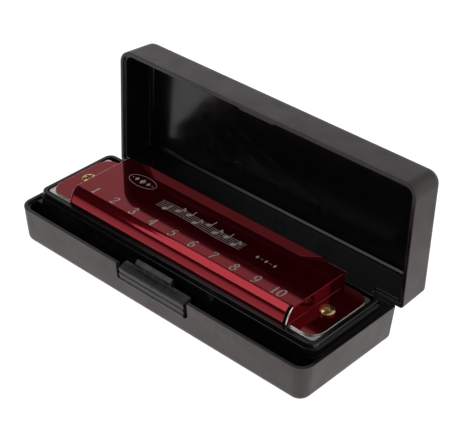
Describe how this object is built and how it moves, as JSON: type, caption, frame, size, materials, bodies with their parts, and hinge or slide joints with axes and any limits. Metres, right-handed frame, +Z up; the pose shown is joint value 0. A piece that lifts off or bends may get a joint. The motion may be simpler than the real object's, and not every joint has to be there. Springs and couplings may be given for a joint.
{
  "type": "harmonica",
  "caption": "Pocket diatonic harmonica with glossy red cover plates, lying in its hinged black snap case with the lid standing open.",
  "frame": {"origin": "middle of the flat underside of the case", "axes": "+X along the row of holes from low to high, +Y from the latch towards the hinge, +Z up"},
  "size_m": [0.1098, 0.0552, 0.0476],
  "materials": {
    "case_plastic": "black moulded plastic, satin outside and glossy inside",
    "cover_red": "mirror-bright metal with a transparent red coat",
    "plate_metal": "bright rolled sheet",
    "comb_plastic": "black moulded plastic",
    "reed_brass": "bright brass sheet with fine filing marks",
    "screw_brass": "polished brass with a cross slot",
    "pin_steel": "drawn steel wire"
  },
  "bodies": {
    "case": {"case_base": "case_plastic", "hinge_pin_left": "pin_steel", "hinge_pin_right": "pin_steel"},
    "lid": {"case_lid": "case_plastic"},
    "latch": {"case_latch": "case_plastic"},
    "harmonica": {"comb": "comb_plastic", "reed_plate_upper": "plate_metal", "reed_plate_lower": "plate_metal", "cover_upper": "cover_red", "cover_lower": "cover_red", "cover_screw_left": "screw_brass", "cover_screw_right": "screw_brass", "cover_nut_left": "screw_brass", "cover_nut_right": "screw_brass", "plate_nail_upper_1": "reed_brass", "plate_nail_upper_2": "reed_brass", "plate_nail_upper_3": "reed_brass", "plate_nail_lower_1": "reed_brass", "plate_nail_lower_2": "reed_brass", "plate_nail_lower_3": "reed_brass", "blow_rivet_1": "reed_brass", "blow_rivet_2": "reed_brass", "blow_rivet_3": "reed_brass", "blow_rivet_4": "reed_brass", "blow_rivet_5": "reed_brass", "blow_rivet_6": "reed_brass", "blow_rivet_7": "reed_brass", "blow_rivet_8": "reed_brass", "blow_rivet_9": "reed_brass", "blow_rivet_10": "reed_brass", "draw_rivet_1": "reed_brass", "draw_rivet_2": "reed_brass", "draw_rivet_3": "reed_brass", "draw_rivet_4": "reed_brass", "draw_rivet_5": "reed_brass", "draw_rivet_6": "reed_brass", "draw_rivet_7": "reed_brass", "draw_rivet_8": "reed_brass", "draw_rivet_9": "reed_brass", "draw_rivet_10": "reed_brass"},
    "blow_reed_1": {"blow_reed_1": "reed_brass"},
    "blow_reed_2": {"blow_reed_2": "reed_brass"},
    "blow_reed_3": {"blow_reed_3": "reed_brass"},
    "blow_reed_4": {"blow_reed_4": "reed_brass"},
    "blow_reed_5": {"blow_reed_5": "reed_brass"},
    "blow_reed_6": {"blow_reed_6": "reed_brass"},
    "blow_reed_7": {"blow_reed_7": "reed_brass"},
    "blow_reed_8": {"blow_reed_8": "reed_brass"},
    "blow_reed_9": {"blow_reed_9": "reed_brass"},
    "blow_reed_10": {"blow_reed_10": "reed_brass"},
    "draw_reed_1": {"draw_reed_1": "reed_brass"},
    "draw_reed_2": {"draw_reed_2": "reed_brass"},
    "draw_reed_3": {"draw_reed_3": "reed_brass"},
    "draw_reed_4": {"draw_reed_4": "reed_brass"},
    "draw_reed_5": {"draw_reed_5": "reed_brass"},
    "draw_reed_6": {"draw_reed_6": "reed_brass"},
    "draw_reed_7": {"draw_reed_7": "reed_brass"},
    "draw_reed_8": {"draw_reed_8": "reed_brass"},
    "draw_reed_9": {"draw_reed_9": "reed_brass"},
    "draw_reed_10": {"draw_reed_10": "reed_brass"}
  },
  "joints": [
    {"name": "case_lid_hinge", "type": "hinge", "parent": "case", "child": "lid", "pos_m": [0, 0.0193, 0.009], "axis": [-1, 0, 0], "range_deg": [-91.3, 0]},
    {"name": "harmonica_lift", "type": "slide", "parent": "case", "child": "harmonica", "axis": [0, 0, 1], "range_m": [0, 0.05]},
    {"name": "latch_press", "type": "hinge", "parent": "case", "child": "latch", "pos_m": [0.0003, -0.0167, 0.0032], "axis": [-1, 0, 0], "range_deg": [0, 8], "stiffness_Nm_per_rad": 0.05},
    {"name": "reed_blow_01", "type": "hinge", "parent": "harmonica", "child": "blow_reed_1", "pos_m": [-0.03479, 0.00763, 0.01373], "axis": [-1, 0, 0], "range_deg": [-4, 4], "stiffness_Nm_per_rad": 0.002},
    {"name": "reed_blow_02", "type": "hinge", "parent": "harmonica", "child": "blow_reed_2", "pos_m": [-0.02705, 0.00702, 0.01373], "axis": [-1, 0, 0], "range_deg": [-4, 4], "stiffness_Nm_per_rad": 0.002},
    {"name": "reed_blow_03", "type": "hinge", "parent": "harmonica", "child": "blow_reed_3", "pos_m": [-0.01932, 0.00641, 0.01373], "axis": [-1, 0, 0], "range_deg": [-4, 4], "stiffness_Nm_per_rad": 0.002},
    {"name": "reed_blow_04", "type": "hinge", "parent": "harmonica", "child": "blow_reed_4", "pos_m": [-0.01159, 0.0058, 0.01373], "axis": [-1, 0, 0], "range_deg": [-4, 4], "stiffness_Nm_per_rad": 0.002},
    {"name": "reed_blow_05", "type": "hinge", "parent": "harmonica", "child": "blow_reed_5", "pos_m": [-0.00386, 0.00519, 0.01373], "axis": [-1, 0, 0], "range_deg": [-4, 4], "stiffness_Nm_per_rad": 0.002},
    {"name": "reed_blow_06", "type": "hinge", "parent": "harmonica", "child": "blow_reed_6", "pos_m": [0.00386, 0.00457, 0.01373], "axis": [-1, 0, 0], "range_deg": [-4, 4], "stiffness_Nm_per_rad": 0.002},
    {"name": "reed_blow_07", "type": "hinge", "parent": "harmonica", "child": "blow_reed_7", "pos_m": [0.01159, 0.00396, 0.01373], "axis": [-1, 0, 0], "range_deg": [-4, 4], "stiffness_Nm_per_rad": 0.002},
    {"name": "reed_blow_08", "type": "hinge", "parent": "harmonica", "child": "blow_reed_8", "pos_m": [0.01932, 0.00335, 0.01373], "axis": [-1, 0, 0], "range_deg": [-4, 4], "stiffness_Nm_per_rad": 0.002},
    {"name": "reed_blow_09", "type": "hinge", "parent": "harmonica", "child": "blow_reed_9", "pos_m": [0.02705, 0.00274, 0.01373], "axis": [-1, 0, 0], "range_deg": [-4, 4], "stiffness_Nm_per_rad": 0.002},
    {"name": "reed_blow_10", "type": "hinge", "parent": "harmonica", "child": "blow_reed_10", "pos_m": [0.03479, 0.00213, 0.01373], "axis": [-1, 0, 0], "range_deg": [-4, 4], "stiffness_Nm_per_rad": 0.002},
    {"name": "reed_draw_01", "type": "hinge", "parent": "harmonica", "child": "draw_reed_1", "pos_m": [-0.03479, -0.00837, 0.00657], "axis": [1, 0, 0], "range_deg": [-4, 4], "stiffness_Nm_per_rad": 0.002},
    {"name": "reed_draw_02", "type": "hinge", "parent": "harmonica", "child": "draw_reed_2", "pos_m": [-0.02705, -0.00837, 0.00657], "axis": [1, 0, 0], "range_deg": [-4, 4], "stiffness_Nm_per_rad": 0.002},
    {"name": "reed_draw_03", "type": "hinge", "parent": "harmonica", "child": "draw_reed_3", "pos_m": [-0.01932, -0.00837, 0.00657], "axis": [1, 0, 0], "range_deg": [-4, 4], "stiffness_Nm_per_rad": 0.002},
    {"name": "reed_draw_04", "type": "hinge", "parent": "harmonica", "child": "draw_reed_4", "pos_m": [-0.01159, -0.00837, 0.00657], "axis": [1, 0, 0], "range_deg": [-4, 4], "stiffness_Nm_per_rad": 0.002},
    {"name": "reed_draw_05", "type": "hinge", "parent": "harmonica", "child": "draw_reed_5", "pos_m": [-0.00386, -0.00837, 0.00657], "axis": [1, 0, 0], "range_deg": [-4, 4], "stiffness_Nm_per_rad": 0.002},
    {"name": "reed_draw_06", "type": "hinge", "parent": "harmonica", "child": "draw_reed_6", "pos_m": [0.00386, -0.00837, 0.00657], "axis": [1, 0, 0], "range_deg": [-4, 4], "stiffness_Nm_per_rad": 0.002},
    {"name": "reed_draw_07", "type": "hinge", "parent": "harmonica", "child": "draw_reed_7", "pos_m": [0.01159, -0.00837, 0.00657], "axis": [1, 0, 0], "range_deg": [-4, 4], "stiffness_Nm_per_rad": 0.002},
    {"name": "reed_draw_08", "type": "hinge", "parent": "harmonica", "child": "draw_reed_8", "pos_m": [0.01932, -0.00837, 0.00657], "axis": [1, 0, 0], "range_deg": [-4, 4], "stiffness_Nm_per_rad": 0.002},
    {"name": "reed_draw_09", "type": "hinge", "parent": "harmonica", "child": "draw_reed_9", "pos_m": [0.02705, -0.00837, 0.00657], "axis": [1, 0, 0], "range_deg": [-4, 4], "stiffness_Nm_per_rad": 0.002},
    {"name": "reed_draw_10", "type": "hinge", "parent": "harmonica", "child": "draw_reed_10", "pos_m": [0.03479, -0.00837, 0.00657], "axis": [1, 0, 0], "range_deg": [-4, 4], "stiffness_Nm_per_rad": 0.002}
  ]
}
